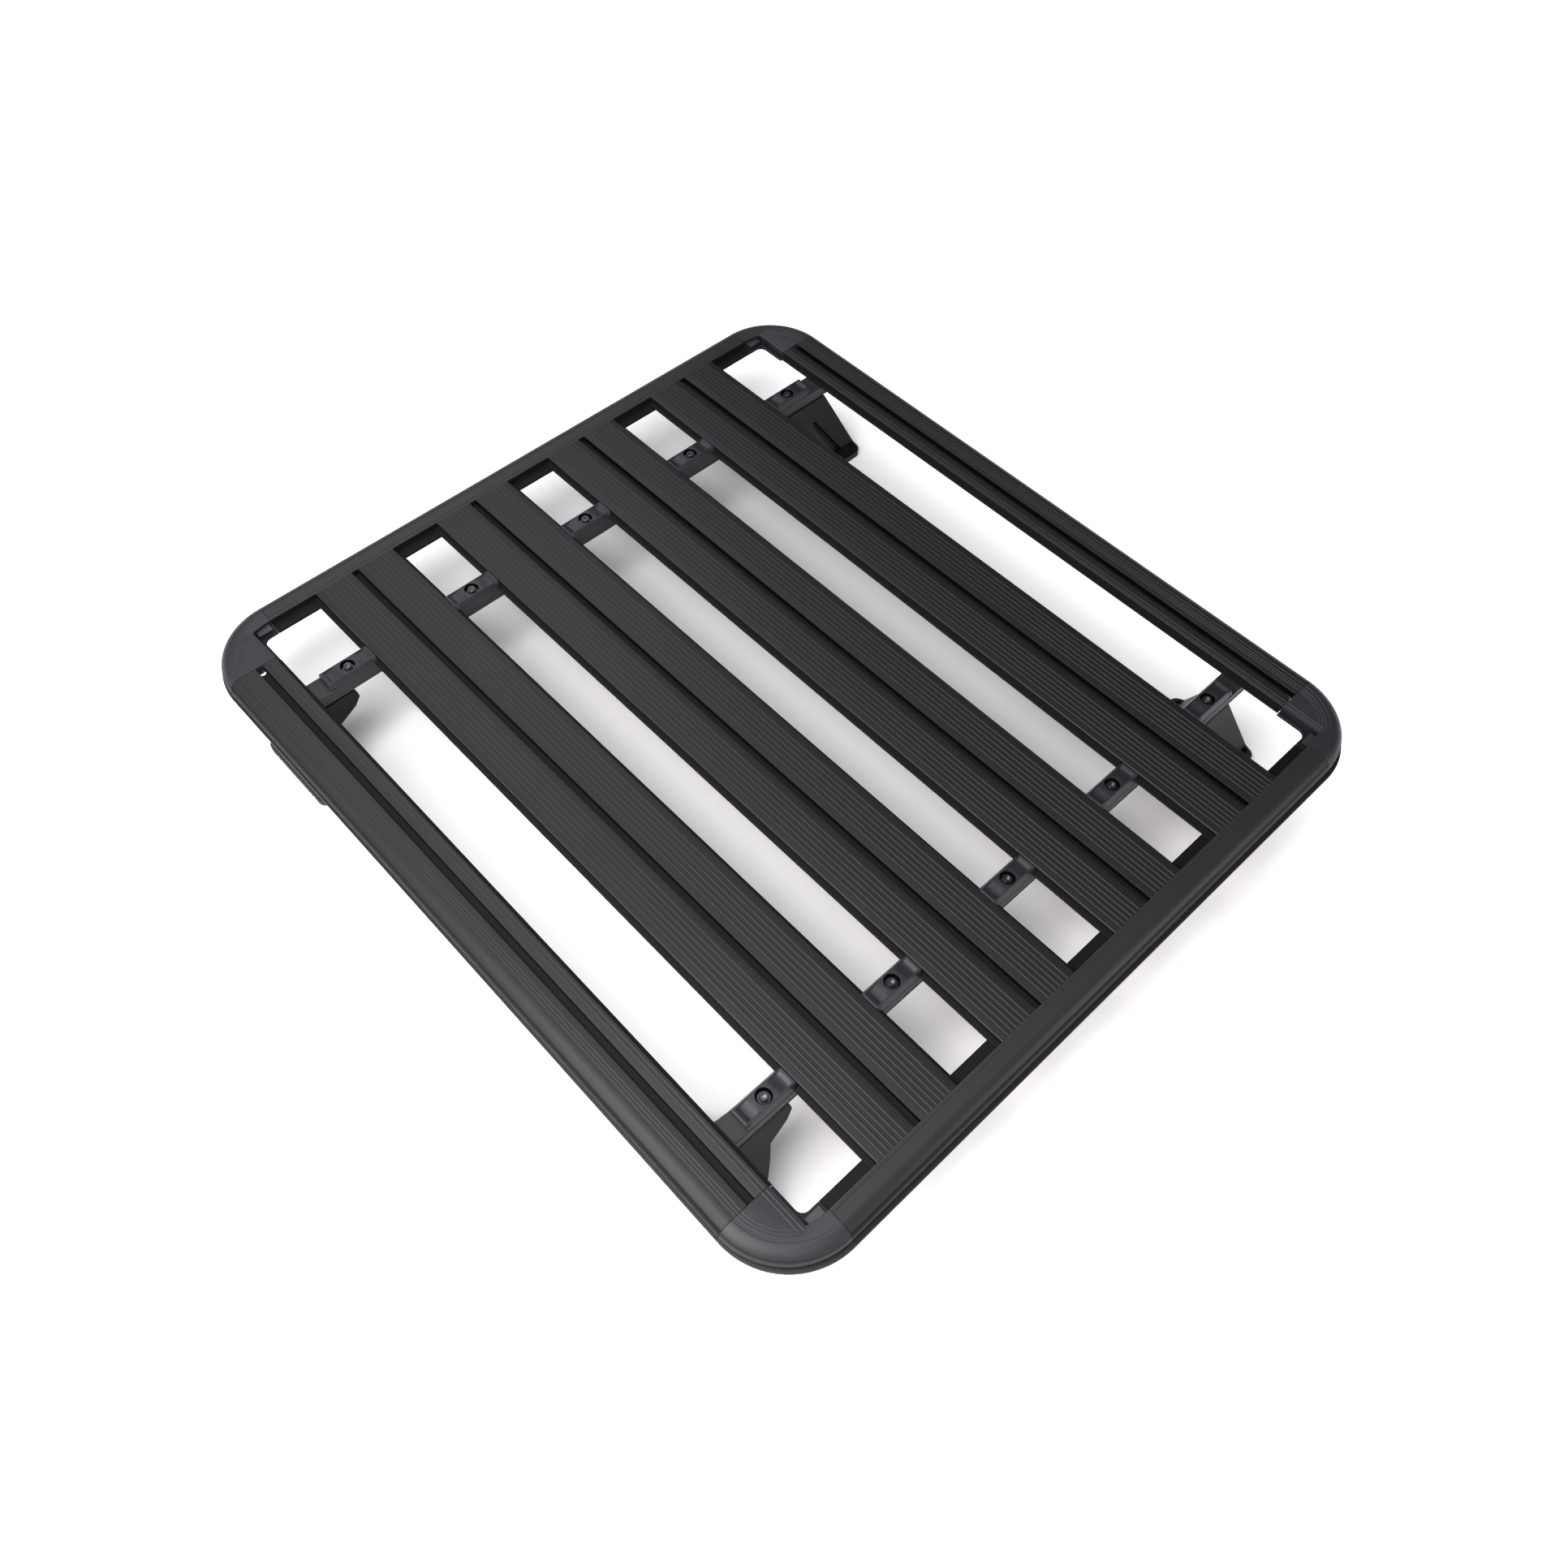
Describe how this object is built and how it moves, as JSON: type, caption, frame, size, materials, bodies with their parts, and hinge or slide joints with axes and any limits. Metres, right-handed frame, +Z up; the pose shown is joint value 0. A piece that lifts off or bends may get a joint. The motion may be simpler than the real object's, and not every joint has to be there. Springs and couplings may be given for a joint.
{
  "type": "roof rack platform",
  "caption": "Flat slatted aluminium roof platform with slotted planks, rounded frame, clamped crossbars and four feet that slide along the crossbars.",
  "frame": {"origin": "middle of the rectangle that the platform covers, on the surface under the pads", "axes": "+X to the right across the planks, +Y along the planks to the rear, +Z up"},
  "size_m": [1.2414, 1.346, 0.165],
  "materials": {
    "coated_aluminium": "satin powder coat",
    "crossbar_coat": "satin powder coat",
    "moulded_plastic": "fine moulded grain",
    "cap_plastic": "matte",
    "clamp_coat": "satin powder coat",
    "foot_plastic": "satin moulded",
    "pad_rubber": "matte",
    "bare_casting": "matte casting",
    "dark_steel": "black oxide",
    "zinc_steel": "zinc plated"
  },
  "bodies": {
    "platform": {"plank_1": "coated_aluminium", "plank_2": "coated_aluminium", "plank_3": "coated_aluminium", "plank_4": "coated_aluminium", "edge_plank_left": "coated_aluminium", "edge_plank_right": "coated_aluminium", "end_rail_front": "coated_aluminium", "end_rail_rear": "coated_aluminium", "corner_front_left": "moulded_plastic", "corner_front_right": "moulded_plastic", "corner_rear_left": "moulded_plastic", "corner_rear_right": "moulded_plastic", "corner_insert_front_left": "bare_casting", "corner_insert_front_right": "bare_casting", "corner_insert_rear_left": "bare_casting", "corner_insert_rear_right": "bare_casting", "crossbar_front": "crossbar_coat", "crossbar_rear": "crossbar_coat", "crossbar_end_caps_front": "cap_plastic", "crossbar_end_caps_rear": "cap_plastic", "clamp_block_front_1": "clamp_coat", "clamp_block_front_2": "clamp_coat", "clamp_block_front_3": "clamp_coat", "clamp_block_front_4": "clamp_coat", "clamp_block_front_5": "clamp_coat", "clamp_block_rear_1": "clamp_coat", "clamp_block_rear_2": "clamp_coat", "clamp_block_rear_3": "clamp_coat", "clamp_block_rear_4": "clamp_coat", "clamp_block_rear_5": "clamp_coat", "clamp_screws_front": "dark_steel", "clamp_screws_rear": "dark_steel", "clamp_washers_front": "dark_steel", "clamp_washers_rear": "dark_steel", "clamp_nuts_front": "zinc_steel", "clamp_nuts_rear": "zinc_steel", "rail_screws_front": "zinc_steel", "rail_screws_rear": "zinc_steel", "edge_screws_front": "zinc_steel", "edge_screws_rear": "zinc_steel"},
    "foot_front_left": {"foot_front_left": "foot_plastic", "foot_pad_front_left": "pad_rubber", "foot_bolts_front_left": "zinc_steel", "foot_nuts_front_left": "zinc_steel"},
    "foot_front_right": {"foot_front_right": "foot_plastic", "foot_pad_front_right": "pad_rubber", "foot_bolts_front_right": "zinc_steel", "foot_nuts_front_right": "zinc_steel"},
    "foot_rear_left": {"foot_rear_left": "foot_plastic", "foot_pad_rear_left": "pad_rubber", "foot_bolts_rear_left": "zinc_steel", "foot_nuts_rear_left": "zinc_steel"},
    "foot_rear_right": {"foot_rear_right": "foot_plastic", "foot_pad_rear_right": "pad_rubber", "foot_bolts_rear_right": "zinc_steel", "foot_nuts_rear_right": "zinc_steel"}
  },
  "joints": [
    {"name": "front_left_foot_slide", "type": "slide", "parent": "platform", "child": "foot_front_left", "axis": [1, 0, 0], "range_m": [-0.02, 0.136]},
    {"name": "front_right_foot_slide", "type": "slide", "parent": "platform", "child": "foot_front_right", "axis": [1, 0, 0], "range_m": [-0.12, 0.02]},
    {"name": "rear_left_foot_slide", "type": "slide", "parent": "platform", "child": "foot_rear_left", "axis": [1, 0, 0], "range_m": [-0.02, 0.171]},
    {"name": "rear_right_foot_slide", "type": "slide", "parent": "platform", "child": "foot_rear_right", "axis": [1, 0, 0], "range_m": [-0.152, 0.02]}
  ]
}
